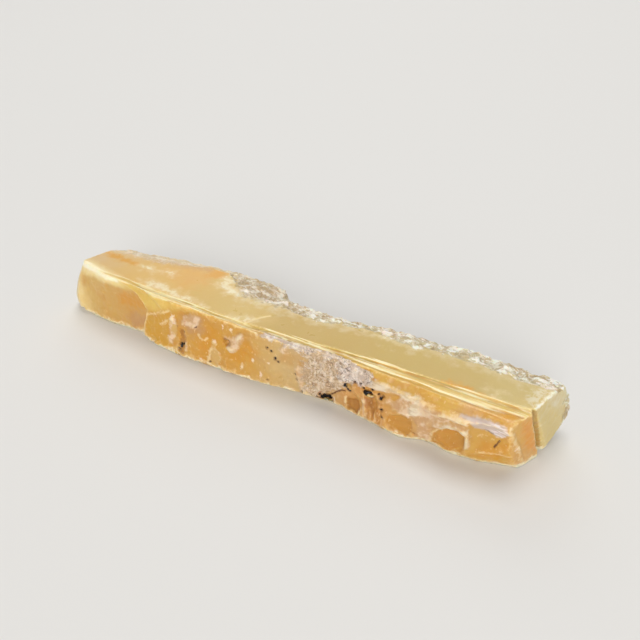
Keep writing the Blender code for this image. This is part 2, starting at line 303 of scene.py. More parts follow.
BLACK_VUGS = [
    (-15.3, 5.8, 0.18), (-16.0, 3.0, 0.22), (-16.3, 2.5, 0.34), (-16.9, 1.6, 0.26), (-15.6, 3.2, 0.16),
    (-6.3, 6.9, 0.16),
    (2.0, 7.7, 0.17), (2.7, 6.5, 0.25), (1.2, 8.1, 0.10), (3.3, 6.2, 0.10), (6.2, 4.7, 0.14), (6.4, 3.4, 0.15),
    (15.0, 5.8, 0.26), (15.5, 5.4, 0.16), (15.9, 5.2, 0.20), (16.6, 7.1, 0.12), (17.7, 7.4, 0.14), (18.2, 6.7, 0.18),
    (18.4, 6.2, 0.20), (18.8, 5.9, 0.26), (19.3, 6.1, 0.16), (19.7, 7.2, 0.18), (20.9, 6.8, 0.16), (21.2, 6.3, 0.22),
    (21.4, 4.2, 0.22), (10.3, 1.7, 0.20), (10.7, 1.2, 0.36), (11.4, 1.1, 0.42), (12.2, 0.8, 0.26), (1.1, 1.7, 0.10),
    (7.1, 1.2, 0.2), (9.9, 0.8, 0.24), (-10.3, 1.2, 0.12), (21.6, 3.0, 0.12),
]
CREAM_CRACKS = [
    [(-0.7, 10.5), (-0.4, 9.4)],
    [(-26.5, 8.4), (-25, 7.3), (-24.5, 6.6), (-25, 5.4), (-25.7, 3.4), (-25.8, 0.8)],
    [(-25, 5.6), (-21.5, 7.1), (-18.2, 8.8)],
    [(-12.1, 6.1), (-11.5, 5.6), (-10.8, 5.6), (-10.2, 6.2)],
    [(29.1, 1.4), (29.5, 3.6), (31.2, 5.6)], [(-10.7, 1.2)] + SPIRE[8:] + SPIRE[:6], [(-3.9, 2.2), (-3.8, 3.0)],
    [(26.8, 9.0), (29, 8.75), (32, 8.7), (34.8, 8.7)],
    [(-20.6, 5.2), (-18.8, 6.8)],
    [(36.5, 3.1), (38.8, 3.4), (40.6, 3.6)],
    [(40.2, 9.4), (40.9, 6.4), (41.4, 4.6), (42.0, 1.2)],
    [(15.1, 3.6), (15.0, 2.4)], [(17.6, 2.4), (17.4, 1.0)],
]
SPECKS = [
    (-5.5, 9.3, 0.22), (-7.2, 9.3, 0.14), (-1.8, 4.3, 0.20), (-3.9, 2.5, 0.16), (-0.2, 2.2, 0.26), (1.6, 5.2, 0.14),
    (25.7, 5.1, 0.22), (41.35, 4.8, 0.26), (12.8, 1.9, 0.3), (-12.0, 1.4, 0.2), (-17.6, 7.6, 0.45), (-8.9, 5.9, 0.25),
]
print(len(PINK_CRUSTS), "crusts,", len(BLACK_VUGS), "vugs,", len(CREAM_CRACKS), "cracks")

# %% [markdown]
# ## Relief
#
# A sawn face is flat, so the top gets almost nothing. A broken face of opal-like stone is made
# of small shallow scoops that meet in crisp ridges, which is what noise gives when its absolute
# value is taken and turned upside down. The rind is rough and grainy, like coarse sugar. Each
# kind of relief is a height for every point, worn only where its mask says, and all of them are
# added up and applied along the surface's own direction.

# %% Where each kind of surface is
P = averaged(P, 2)
worn_back = smooth_step(-P[:, 0], 20.0, 26.0) * smooth_step(P[:, 1], 0.5, 3.0)
worn = np.maximum(smooth_step(-P[:, 0], 38.5, 43.0), worn_back)[:, None]
P = P + worn * (averaged(P, 50) - P)
above_base, below_top = P[:, 2].copy(), THICK - P[:, 2]
P[:, 2] = above_base * smooth_step(above_base, 0.0, 0.3)
sawn = smooth_step(line(RIND, P[:, 0]) - P[:, 1], -0.3, 0.5) * smooth_step(P[:, 1] - line(SEAM, P[:, 0]), -0.2, 0.3)
sawn *= smooth_step(N[:, 2], 0.6, 0.8) * (1 - worn[:, 0])
P[:, 2] = np.where(below_top < 0.9, THICK - below_top * smooth_step(below_top, 0.0, 0.5) * (1 - sawn), P[:, 2])
beside_panel = smooth_step(-deepest(PANEL, P[:, 0], P[:, 2]), -0.1, 0.7) * smooth_step(-P[:, 0], 18.4, 19.4)
beside_panel *= smooth_step(-N[:, 1], 0.2, 0.5) * smooth_step(P[:, 2], 0.5, 1.5) * smooth_step(-P[:, 2], -10.3, -9.3)
flat_y = np.interp(P[:, 2], [0, 8, 9.5, 10.6], [-7.95, -7.95, -7.6, -6.9])
flat_y += 0.10 * (P[:, 2] - 1) * np.clip((-P[:, 0] - 19) / 6, 0, 1)
P[:, 1] += beside_panel * np.minimum(0.0, flat_y - P[:, 1])
put_back(P)
N = facings()
X, Y, Z = P.T
up = smooth_step(N[:, 2], 0.80, 0.97)
down = smooth_step(-N[:, 2], 0.80, 0.97)
front = smooth_step(-N[:, 1], 0.30, 0.60) * (1 - up) * (1 - down)
right_end = smooth_step(N[:, 0], 0.60, 0.85)
left_end = smooth_step(-N[:, 0], 0.60, 0.85)
behind_seam = Y - line(SEAM, X) - LAYER_DIP * (THICK - Z)
behind_vein = Y - line(FRONT_VEIN, X) - LAYER_DIP * (THICK - Z)
behind_middle = Y - line(MIDDLE_VEIN, X) - LAYER_DIP * (THICK - Z)
rind = np.where(N[:, 1] > 0.35, 1.5, Y - line(RIND, X))
rind = np.where((right_end > 0.4) & (Z < THICK - 0.7), Y - 5.6 - 0.8 * lumps(P, 1.6, 3), rind)
rind = np.where(N[:, 2] < -0.8, -3.0, rind)
rough = smooth_step(rind, -0.25, 0.35) * (1 - down)
print("rough share of the skin:", round(float(rough.mean()), 2))


# %% Distances into the patches
on_front = only_where((front > 0.05) & (behind_vein < 0.4))
# The dusty crust laps over the front edge and onto the strip, as far back as this line.
crusted_to = line([(0, -6.3), (4, -6.05), (8, -5.7), (10, -5.5), (14, -5.25), (16, -5.8), (18, -6.3), (20, -6.9)], X)
on_wall = np.where((X > 0.3) & (X < 20) & (Y < crusted_to), 0.0, on_front)
crust, scar = (deepest(group, X, Z) + on_front for group in (PINK_CRUSTS, AMBER_SCARS))
weathered = deepest(WEATHERED, X, Z) + on_wall
white_crust = deepest(WHITE_CRUSTS, X, Z) + on_front
golden, stain, panel, deep = (deepest(group, X, Z) + on_front for group in (GOLDEN, STAINS, PANEL, DEEP_AMBER))
rosy, bevel, tan = (deepest(group, X, Z) + on_front for group in (ROSY, YELLOW_BEVEL, TAN))
grey = deepest(GREY, X, Z) + on_wall
black = nearest(BLACK_VUGS, X, Z) + only_where((Y < -4.5) & (up < 0.5)) + 0.18 * lumps(P, 0.5, 8)
speck = nearest([(a, b / 2, r) for a, b, r in SPECKS], X, Z / 2) + on_front
crack, brown = (
    np.min([off_line(points, X, Z) for points in group], axis=0) - on_front for group in (CREAM_CRACKS, BROWN_LINES)
)
print("distances measured at", len(P), "points")

# %% Add up the relief
scoops = -np.abs(lumps(P, 2.3, 5)) - 0.5 * np.abs(lumps(P, 0.9, 6))
broken = -np.abs(lumps(P, 2.2, 11)) - 0.6 * np.abs(lumps(P, 1.0, 12)) - 0.4 * np.abs(lumps(P, 0.6, 13))
foot_chips = -np.abs(lumps(P, 1.4, 7, stretch=(1, 1, 0.8)))
near_foot = smooth_step(-Z, -2.2, -0.6)
ragged = smooth_step(weathered, -0.5, 0.4)
sugar = np.array([noise.noise(spot, noise_basis="VORONOI_F1") for spot in (P / 0.95).tolist()])

relief = front * (0.26 * scoops + 0.50 * near_foot * foot_chips)
at_back = smooth_step(N[:, 1], 0.2, 0.6)
rind_height = np.maximum(0.4 + 0.6 * smooth_step(X, -19.0, -14.0), 0.8 * at_back)
relief += at_back * (0.45 * grit(P, 6.0, 15) - 0.15)
relief += rough * rind_height * (0.16 + 0.50 * broken - 0.16 * sugar)
relief += ragged * (0.26 * grit(P, 1.3, 21) - 0.20 * sugar)
relief += 0.22 * front * smooth_step(crust, -0.3, 0.5) * (1 + 0.7 * grit(P, 1.2, 31))
relief += 0.26 * front * smooth_step(white_crust, -0.3, 0.3) * (1 + 0.5 * grit(P, 1.4, 34))
relief += 0.35 * worn_back * at_back + 0.25 * worn[:, 0] * (1 - up) * (1 - down) * (X < -36)
relief -= 0.24 * smooth_step(scar, -0.15, 0.35)
relief -= 0.22 * smooth_step(panel, -0.15, 0.15) * (0.3 + 0.7 * smooth_step(-Z, -8.0, -5.5))
relief -= 0.55 * smooth_step(black, -0.12, 0.30)
relief -= 0.15 * smooth_step(stain, -0.20, 0.30) + 0.20 * smooth_step(-brown, -0.28, -0.05)
relief += 0.10 * smooth_step(-crack, -0.30, 0.0)
relief += (right_end + left_end) * 0.12 * scoops
print("relief, mm:", round(float(relief.min()), 2), "to", round(float(relief.max()), 2))

# %% [markdown]
# The strip between the two veins isn't flat. The layers there parted in splinters, so it steps
# down in thin ledges that run along the slice. Noise that is stretched along X gives ledges, and
# below the dark vugs, narrow flutes run down to the foot.

# %% Splintered ledges along the veins, and flutes
along_x = (14.0, 1.0, 1.0)
splinters = lumps(P, 0.8, 41, stretch=along_x) + 0.6 * lumps(P, 0.45, 42, stretch=along_x)
strip = smooth_step(-behind_seam, -0.2, 0.1) * smooth_step(N[:, 2], 0.5, 0.9)
relief += strip * (0.13 * splinters - 0.08)
wander = 0.25 * lumps(P, 1.0, 45, stretch=(5, 1, 1))
for behind_layer in (behind_seam, behind_vein, behind_middle):
    off_vein = behind_layer + wander
    relief -= 0.14 * (strip + up) * np.exp(-(((off_vein + 0.30) / 0.16) ** 2)) * smooth_step(X, -30, -24)
bevel_zone = smooth_step(N[:, 2], 0.35, 0.55) * (1 - up) * smooth_step(-N[:, 1], 0.1, 0.3)
relief += 0.16 * bevel_zone * lumps(P, 1.0, 43, stretch=(6, 1, 1))
flutes = front * smooth_step(X, 17.4, 18.2) * smooth_step(-X, -22.0, -21.0) * smooth_step(-Z, -6.2, -5.0)
relief -= 0.50 * flutes * np.abs(lumps(P, 0.75, 44, stretch=(1, 1, 4)))
groove = smooth_step(-off_line([(-3.5, -6.0), (-2.5, -4.0), (-1.6, -2.9), (-0.9, -2.3)], X, Y), -0.3, 0.0)
relief -= 0.08 * up * groove

P = np.clip(P + N * relief[:, None], cad_low, cad_high)
put_back(P)
print("skin after relief, mm:", np.round(P.max(axis=0) - P.min(axis=0), 2))

# %% [markdown]
# ## Pale edges: chips and painted glow
#
# Thin edges of this stone let light through and are chipped white. The pale wash on the edges
# paints both: the white chips, and painted glow where light comes through a thin edge. So the
# material needs to know where the edges are. A point on an edge stands proud of the average of
# its neighbours, and comparing the skin with its average gives that height.

# %% Measure how proud each point stands
N = facings()
proud = np.einsum("ij,ij->i", P - averaged(P, 10), N)
print("proud, mm, at 50, 80, 95 and 99 percent:", np.round(np.percentile(proud, [50, 80, 95, 99]), 3))

# %% [markdown]
# ## Patches on the sawn top
#
# The top shows orange streaks, cream clouds and a fork where one vein splits. They are drawn as
# outlines of (x, y) points, looking straight down. Frost lines are the white ledges that run
# along the inner edge of the rind.

# %% Outlines on the top and the ends
ORANGE_TOP = [
    [(-40.4, -0.8), (-39.5, 0.1), (-37, 0.2), (-34, -0.2), (-31.8, -0.6), (-31.8, -1.2), (-34, -1.4), (-37.5, -1.5)],
    [(-18.4, 2.8), (-17.8, 4.8), (-16.6, 5.8), (-15.2, 5.0), (-15.0, 3.4), (-16.2, 2.2)],
    [(29.0, -3.7), (30.2, -3.0), (33.2, -2.9), (33.5, -3.75), (31, -3.95)],
    [(18.0, -4.72), (19.5, -4.62), (21.8, -4.5), (21.4, -4.85), (19, -4.95)],
    [(34.2, -3.5), (35.4, -3.2), (36.0, -3.4), (35.0, -3.62)],
    [(38.2, -4.6), (40.2, -4.6), (40.2, -6.0), (38.4, -6.2)],
]
GOLD_CLOUD = [[(-25.5, 0.8), (-21.5, 3.4), (-18.0, 3.0), (-17.2, 0.4), (-19, -2.6), (-23.5, -2.2)]]
CREAM_TOP = [
    [(-27, -4.6), (-25.0, -3.8), (-23, -3.6), (-20.5, -4.4), (-17, -4.4), (-14.5, -5.2), (-12, -5.8), (-16, -6.0),
     (-21, -5.8), (-25, -5.8)],
    [(-30.6, -0.7), (-29, -0.2), (-26.6, -0.6), (-27, -1.3), (-29.6, -1.4)],
    [(-25.0, 0.4), (-24, 0.6), (-23.2, -0.4), (-24, -1.0), (-25.2, -0.6)],
    [(-15.4, 2.0), (-15.0, 4.0), (-13.4, 3.6), (-12.4, 2.0), (-9.0, 0.4), (-9.6, -0.6), (-13.6, 0.4)],
    [(-8.4, -6.4), (-3.6, -6.4), (-2.4, -4.0), (-4.2, -5.0), (-6.2, -5.6)],
    [(-6.2, 1.2), (-5.2, 1.4), (-3.9, 1.0), (-2.0, 1.0), (-3.0, 0.3), (-5.6, 0.1)],
    [(16.4, 4.0), (17.0, 3.6), (18.0, 1.8), (17.2, 1.6), (16.2, 3.0)],
    [(35.1, -2.0), (35.8, -2.6), (36.9, -2.2), (36.2, -3.0), (36.6, -3.5), (35.6, -3.2)],
    [(36.8, -4.1), (37.8, -4.2), (37.6, -4.8), (36.6, -4.7)],
    [(-39, -5.0), (-36.5, -5.0), (-34.0, -5.9), (-32.5, -6.8), (-35, -6.6), (-38.5, -6.0)],
]
ROSY_TOP = [[(-36, 1.6), (-30, 3.6), (-24, 4.8), (-18.4, 5.4), (-18.6, 3.6), (-24, 2.6), (-30, 1.4)],
            [(9.8, 4.4), (11.8, 4.6), (11.6, 3.2), (10.2, 3.0)], [(28, 5.6), (30, 5.8), (30, 4.2), (28.2, 4.0)]]
FROST_LINES = [[(-7.4, 1.9), (-5.6, 1.8), (-3.8, 1.7), (-2.3, 2.1), (-1.2, 2.4)], [(-10.1, 1.8), (-8.2, 2.2)],
               [(15.6, 3.0), (17.6, 3.5)], [(35.4, 3.2), (37.1, 2.8), (39.4, 2.3), (41.8, 2.8), (43.1, 3.6)]]
WHITE_VEIN_AND_HIGHLIGHT = [(-42, -5.1), (-39, -5.5), (-36.5, -6.0), (-34.0, -6.5), (-31.5, -6.8)]
FORK = [(-3.5, -6.2), (-2.6, -4.2), (-1.8, -3.0), (-1.2, -2.4)]
ORANGE_END = [[(-5.2, 9.6), (-3.4, 9.2), (-1.6, 5.4), (-0.6, 2.0), (-2.4, 2.6), (-3.6, 5.4), (-5.0, 7.6)]]
on_top = only_where(up > 0.3)
orange = deepest(ORANGE_TOP, X, Y) + on_top
cream = deepest(CREAM_TOP, X, Y) + on_top
cloud = deepest(GOLD_CLOUD, X, Y) + on_top
rosy = np.maximum(rosy, deepest(ROSY_TOP, X, Y) + only_where(N[:, 2] > 0.3))
fork = off_line(FORK, X, Y) - on_top
frosting = 0.4 - np.min([off_line(points, X, Y) for points in FROST_LINES], axis=0) + only_where(N[:, 2] > 0.3)
white_vein_and_highlight = np.hypot(off_line(WHITE_VEIN_AND_HIGHLIGHT, X, Y), np.maximum(0.0, 10.1 - Z))
gap = np.where(X > 41.0, off_line([(-2.9, 9.8), (1.05, 0.0)], Y, Z), 4.0)
end_glow = deepest(ORANGE_END, Y, Z) + only_where(right_end > 0.3)
SLAB = [(35.1, 8.4), (33.4, 9.1), (35.8, 9.6), (37.4, 9.7), (39.4, 9.4), (40.1, 8.4), (39.6, 7.4), (38.4, 6.9),
        (36.8, 7.3), (35.6, 7.4)]
GOLD_CRESCENT = [(22.4, 6.6), (22.9, 7.3), (23.4, 8.0), (24.1, 8.1), (23.9, 7.4), (23.2, 6.8)]
gold_crescent = inside(GOLD_CRESCENT, X, Z) + on_front
slab = inside(SLAB, X, Z) + on_front
print("orange:", int((orange > 0).sum()), "points; cream:", int((cream > 0).sum()), "points")

# %% [markdown]
# ## Handing the measurements to the material
#
# A named attribute is a number stored at each point of a mesh, and a shader can read it by
# name. All the distances are stored in millimetres. Far from a patch the exact distance does not
# matter, so it is kept within a few millimetres, which also keeps it smooth across the corners
# between faces.


# %% Store the distances
def remember(name, values):
    layer = stone.data.attributes.new(name, "FLOAT", "POINT")
    layer.data.foreach_set("value", np.clip(values, -4.0, 4.0).astype(np.float32))


MEASURES = {
    "behind_seam": behind_seam, "behind_vein": behind_vein, "behind_middle": behind_middle, "rind": rind,
    "facing_front": front, "facing_right": right_end, "facing_up": smooth_step(N[:, 2], 0.35, 0.75),
    "crust": crust, "white_crust": white_crust, "scar": scar, "weathered": weathered, "grey": grey, "black": black,
    "golden": golden, "deep": deep, "bevel": bevel, "rosy": rosy, "tan": tan, "stain": stain, "flutes": flutes,
    "brown": brown, "crack": crack, "speck": speck, "slab": slab, "gold_crescent": gold_crescent,
    "orange": orange, "cream": cream, "cloud": cloud, "frosting": frosting, "fork": fork, "white_vein_and_highlight": white_vein_and_highlight,
    "end_glow": end_glow, "gap": gap, "proud": proud,
}
for name, values in MEASURES.items():
    remember(name, values)
for polygon in stone.data.polygons:
    polygon.use_smooth = True
print("stored:", ", ".join(MEASURES))

# %% [markdown]
# ## One material for the whole stone
#
# The stone is one piece, so it has one material. Its colour starts with the two layers and is
# then painted over, patch by patch, like washes on paper. Each wash is a colour and a share
# from 0 to 1, and noise frays the edge of every patch, because nothing in a stone ends in a
# clean line. The helpers below each add one or two nodes and hand back the socket to use next.


# %% Node helpers
amber_stone = bpy.data.materials.new("amber_stone")
amber_stone.use_nodes = True
nodes, links = amber_stone.node_tree.nodes, amber_stone.node_tree.links
shader = nodes["Principled BSDF"]
object_place = nodes.new("ShaderNodeTexCoord").outputs["Object"]


def plug(socket, value):
    if isinstance(value, bpy.types.NodeSocket):
        links.new(value, socket)
    else:
        socket.default_value = value


def calc(operation, *values):
    node = nodes.new("ShaderNodeMath")
    node.operation = operation
    for socket, value in zip(node.inputs, values):
        plug(socket, value)
    return node.outputs[0]


def times(*values):
    result = values[0]
    for value in values[1:]:
        result = calc("MULTIPLY", result, value)
    return result


def measured(name):
    node = nodes.new("ShaderNodeAttribute")
    node.attribute_name = name
    return node.outputs["Fac"]


def stone_noise(size, detail=3.0, seed=0.0, stretch=(1, 1, 1), roughness=0.55, swirl=0.0):
    """Noise whose lumps have the given size in millimetres; its value is around 0.5."""
    place = nodes.new("ShaderNodeMapping")
    place.inputs["Location"].default_value = (seed * 7.3, seed * 3.1, seed * 5.7)
    place.inputs["Scale"].default_value = [1 / (size * MM * s) for s in stretch]
    node = nodes.new("ShaderNodeTexNoise")
    node.inputs["Scale"].default_value = 1.0
    node.inputs["Detail"].default_value = detail
    node.inputs["Roughness"].default_value = roughness
    node.inputs["Distortion"].default_value = swirl
    links.new(object_place, place.inputs["Vector"])
    links.new(place.outputs["Vector"], node.inputs["Vector"])
    return node.outputs["Fac"]


def ramp(value, low, high, eased=True):
    """0 at low and 1 at high."""
    node = nodes.new("ShaderNodeMapRange")
    node.interpolation_type = "SMOOTHSTEP" if eased else "LINEAR"
    for name, number in (("Value", value), ("From Min", low), ("From Max", high)):
        plug(node.inputs[name], number)
    return node.outputs["Result"]


def frayed(value, fray, amount):
    """The distance, pushed to and fro by noise."""
    return calc("MULTIPLY_ADD", calc("SUBTRACT", fray, 0.5), 2 * amount, value)


def tint(red, green, blue):
    """A screen colour from 0 to 255 as the linear numbers that a shader wants."""
    return (*[((c / 255 + 0.055) / 1.055) ** 2.4 for c in (red, green, blue)], 1.0)


def wash(under, colour, share):
    node = nodes.new("ShaderNodeMix")
    node.data_type = "RGBA"
    plug(node.inputs["Factor"], share)
    for socket, value in ((node.inputs[6], under), (node.inputs[7], colour)):
        plug(socket, value)
    return node.outputs[2]


across = nodes.new("ShaderNodeSeparateXYZ")
links.new(object_place, across.inputs[0])
x_mm, z_mm = calc("MULTIPLY", across.outputs["X"], 1 / MM), calc("MULTIPLY", across.outputs["Z"], 1 / MM)


def along_slice(stops, wobble, amount):
    """A colour that changes along X; stops are (x in mm, colour)."""
    node = nodes.new("ShaderNodeValToRGB")
    plug(node.inputs["Fac"], ramp(frayed(x_mm, wobble, amount), -48.0, 48.0, eased=False))
    ends = node.color_ramp.elements
    while len(ends) < len(stops):
        ends.new(1.0)
    for element, (x, colour) in zip(ends, stops):
        element.position = (x + 48.0) / 96.0
    for element, (x, colour) in zip(ends, stops):
        element.color = colour
    return node.outputs["Color"]


fine = stone_noise(0.5, 4, seed=1)
medium = stone_noise(1.6, 4, seed=2)
broad = stone_noise(5.0, 3, seed=3)
streaky = stone_noise(0.5, 3, seed=4, stretch=(16, 1, 1))
fray = calc("MULTIPLY_ADD", fine, 0.4, calc("MULTIPLY", medium, 0.6))
crackle = ramp(calc("ABSOLUTE", calc("SUBTRACT", stone_noise(2.2, 4, seed=5, swirl=0.8), 0.5)), 0.045, 0.012)
print("noises ready:", len(nodes), "nodes")

# %% [markdown]
# The amber layer is a warm orange that grows paler and pinker in places. The layer behind the
# seam is tan at the left end, honey in the middle and a greenish straw colour to the right. Both
# are colours along X, with the change between them pushed about by broad noise.

# %% The two layers
# The first two stops turn the amber pale cream at the rounded left end: partly the end's own paler colour, partly
# painted glow and highlight where light comes through and shines on that end.
front_colour = along_slice(
    [(-46, tint(244, 230, 196)), (-42.8, tint(232, 206, 144)), (-39, tint(208, 170, 96)), (-27, tint(206, 160, 90)),
     (-24.5, tint(210, 164, 70)), (-19, tint(210, 162, 72)), (-10, tint(206, 152, 62)), (-2, tint(210, 164, 82)),
     (3, tint(208, 176, 118)), (9, tint(204, 172, 120)), (14, tint(204, 154, 90)), (20, tint(206, 152, 76)),
     (26, tint(212, 166, 98)), (33, tint(210, 166, 88)), (39, tint(210, 164, 76)), (44, tint(218, 168, 86))],
    broad, 4.0,
)
back_colour = along_slice(
    [(-44, tint(218, 190, 146)), (-37, tint(216, 182, 126)), (-30, tint(218, 180, 106)), (-20, tint(218, 178, 96)),
     (-13, tint(208, 174, 94)), (-6, tint(206, 176, 98)), (-2.5, tint(206, 174, 98)), (0.5, tint(194, 162, 80)),
     (12, tint(194, 163, 84)), (22, tint(196, 168, 90)), (32, tint(200, 174, 106)), (39.5, tint(206, 184, 124)),
     (42, tint(212, 190, 126))],
    broad, 5.0,
)
seam_at = frayed(measured("behind_seam"), streaky, 0.9)
vein_at = frayed(measured("behind_vein"), streaky, 0.8)
middle_at = frayed(measured("behind_middle"), streaky, 0.8)
facing_up, facing_front = measured("facing_up"), measured("facing_front")
facing_right, behind = measured("facing_right"), measured("behind_seam")
right_part = ramp(x_mm, 6.0, 12.0)
at_left_end = ramp(x_mm, -42.8, -44.4)
seam_from, seam_to = calc("MULTIPLY_ADD", at_left_end, -1.6, -0.1), calc("MULTIPLY_ADD", at_left_end, 1.6, 0.1)
colour = wash(front_colour, back_colour, ramp(seam_at, seam_from, seam_to))
right_bevel = along_slice(
    [(8, tint(222, 180, 98)), (16, tint(213, 176, 84)), (25, tint(213, 172, 86)), (27.5, tint(218, 176, 84)),
     (31.5, tint(218, 178, 92)), (34, tint(212, 170, 118)), (36.5, tint(212, 164, 84)), (42, tint(214, 170, 92))],
    medium, 3.0,
)
colour = wash(colour, right_bevel, times(facing_up, right_part, ramp(seam_at, 0.1, -0.1), 0.9))
# A whitish wash on the sawn top, widest near the rind and right of x = -18 mm: painted sheen, the soft reflection of
# the light on the polished top.
painted_sheen_at = frayed(measured("rind"), medium, 4.0)
painted_sheen_share = times(ramp(painted_sheen_at, -2.6, 0.4), facing_up, ramp(x_mm, -18, -10), 0.45)
colour = wash(colour, tint(226, 212, 174), painted_sheen_share)
colour = wash(colour, tint(202, 144, 62), times(ramp(broad, 0.52, 0.68), facing_front, 0.45))
colour = wash(colour, tint(222, 188, 126), times(ramp(medium, 0.54, 0.72), facing_front, 0.35))
outward = frayed(calc("MULTIPLY_ADD", z_mm, 0.35, behind), medium, 3)
colour = wash(colour, tint(224, 220, 200), times(ramp(outward, 5.5, 9.0), facing_right, 0.8))
clear_share = times(ramp(outward, 7.5, 10.0), facing_right, calc("MAXIMUM", crackle, 0.5), 0.75)
colour = wash(colour, tint(240, 238, 224), clear_share)
frost = times(ramp(frayed(x_mm, medium, 4.0), 39.4, 42.6), ramp(behind, 0.2, 0.8), facing_up)
colour = wash(colour, tint(232, 224, 200), times(frost, calc("MAXIMUM", ramp(fray, 0.44, 0.58), crackle), 0.7))

# %% Patches on the front
bevel_colour = along_slice(
    [(-42, tint(234, 214, 158)), (-33, tint(232, 208, 136)), (-25, tint(226, 194, 100)), (-16, tint(228, 196, 108)),
     (-8, tint(226, 190, 108))],
    broad, 3.0,
)
colour = wash(colour, bevel_colour, times(ramp(frayed(measured("bevel"), medium, 1.4), -0.6, 0.9), 0.85))
colour = wash(colour, tint(206, 154, 44), times(ramp(frayed(measured("golden"), medium, 2.0), -0.7, 0.9), 0.65))
colour = wash(colour, tint(212, 150, 50), times(ramp(frayed(measured("deep"), medium, 2.8), -1.2, 1.2), 0.65))
colour = wash(colour, tint(194, 150, 104), times(ramp(frayed(measured("rosy"), medium, 2.4), -1.0, 1.0), 0.7))
colour = wash(colour, tint(214, 180, 116), times(ramp(frayed(measured("tan"), fray, 0.8), -0.2, 0.2), 0.7))
upright = stone_noise(0.5, 3, seed=16, stretch=(1, 1, 5))
colour = wash(colour, tint(184, 122, 48), times(ramp(upright, 0.52, 0.42), measured("flutes"), 0.75))
colour = wash(colour, tint(232, 196, 148), times(ramp(upright, 0.54, 0.62), measured("flutes"), 0.75))
dark_scar = tint(174, 118, 44)
scar_colour = wash(tint(200, 144, 60), dark_scar, times(ramp(x_mm, 21.5, 18.5), ramp(x_mm, 14, 15)))
colour = wash(colour, scar_colour, times(ramp(frayed(measured("scar"), medium, 1.2), -0.25, 0.35), 0.85))
crust_at = frayed(measured("crust"), fray, 1.0)
crust_colour = wash(tint(204, 164, 120), tint(230, 204, 172), ramp(medium, 0.40, 0.60))
colour = wash(colour, crust_colour, times(ramp(crust_at, -0.35, 0.40), 0.88))
white_crust_at = frayed(measured("white_crust"), fray, 1.1)
ripple = stone_noise(0.9, 3, seed=17, stretch=(2.5, 1, 1))
white_crust_colour = wash(tint(208, 188, 154), tint(234, 222, 198), ramp(ripple, 0.38, 0.58))
white_share = ramp(white_crust_at, -0.30, 0.35)
colour = wash(colour, white_crust_colour, times(white_share, 0.85))
crescent_share = times(ramp(frayed(measured("gold_crescent"), fine, 0.6), -0.15, 0.2), 0.85)
colour = wash(colour, tint(210, 158, 70), crescent_share)
weathered_at = frayed(measured("weathered"), fray, 3.0)
grey_at = frayed(measured("grey"), fray, 3.0)
pitted = stone_noise(0.9, 4, seed=9, roughness=0.6, swirl=2.0)
pale_wisps = stone_noise(1.6, 4, seed=10, swirl=2.0)
cells = calc("ABSOLUTE", calc("SUBTRACT", stone_noise(1.3, 3, seed=19, swirl=1.5), 0.5))
coarse = calc("MULTIPLY_ADD", times(ramp(stone_noise(3.0, 2, seed=22), 0.40, 0.58), ramp(x_mm, 4, 10)), 0.75, 0.25)
pits = times(calc("MAXIMUM", ramp(pitted, 0.53, 0.62), ramp(cells, 0.024, 0.006)), coarse)
worn_colour = wash(tint(198, 170, 136), tint(236, 222, 202), times(ramp(cells, 0.03, 0.12), 0.45))
worn_colour = wash(worn_colour, tint(240, 228, 212), times(ramp(pale_wisps, 0.50, 0.61), 0.65))
worn_colour = wash(worn_colour, tint(122, 92, 66), times(pits, 0.75))
greyed = wash(tint(206, 190, 178), tint(242, 232, 224), times(ramp(pale_wisps, 0.46, 0.60), 0.8))
greyed = wash(greyed, tint(92, 76, 68), times(pits, 0.75))
worn_colour = wash(worn_colour, greyed, times(ramp(grey_at, -0.3, 0.5), 0.85))
worn_share = times(ramp(weathered_at, -0.4, 0.45), 0.92)
colour = wash(colour, worn_colour, worn_share)
colour = wash(colour, tint(164, 104, 40), times(ramp(frayed(measured("stain"), fray, 2.0), -0.25, 0.45), 0.7))
colour = wash(colour, tint(112, 66, 30), times(ramp(frayed(measured("brown"), fine, 0.15), 0.20, 0.06), 0.9))
flecks_at = stone_noise(0.45, 2, seed=18, stretch=(1, 1, 2))
colour = wash(colour, tint(238, 208, 156), times(ramp(flecks_at, 0.64, 0.72), facing_front, ramp(x_mm, -26, -22), 0.5))
colour = wash(colour, tint(244, 224, 198), times(ramp(frayed(measured("speck"), fine, 0.5), -0.12, 0.12), 0.75))

# %% Patches on the top and the ends
colour = wash(colour, tint(218, 164, 72), times(ramp(frayed(measured("cloud"), medium, 4.0), -2.6, 2.0), 0.55))
colour = wash(colour, tint(218, 158, 48), times(ramp(frayed(measured("orange"), medium, 2.0), -0.8, 0.7), 0.85))
cream_at = measured("cream")
colour = wash(colour, tint(232, 216, 172), times(ramp(frayed(cream_at, medium, 2.6), -1.4, 0.9), 0.5))
colour = wash(colour, tint(246, 242, 218), times(ramp(frayed(cream_at, fray, 3.2), 0.0, 1.1), 0.42))
end_foot = times(ramp(frayed(z_mm, medium, 4.0), 6.0, 2.0), facing_right, ramp(behind, 0.0, -0.6), 0.4)
colour = wash(colour, tint(208, 160, 106), end_foot)
colour = wash(colour, tint(220, 148, 52), times(ramp(frayed(measured("end_glow"), medium, 2.4), -1.0, 1.0), 0.8))
# A white line along the top front edge at the left end: partly a pale vein, partly a painted highlight, the glossy band
# of light reflected along that edge.
vein_highlight_at = frayed(measured("white_vein_and_highlight"), streaky, 0.5)
colour = wash(colour, tint(240, 222, 166), times(ramp(vein_highlight_at, 2.2, 0.6), 0.55))
colour = wash(colour, tint(252, 242, 214), times(ramp(vein_highlight_at, 0.9, 0.25), 0.9))
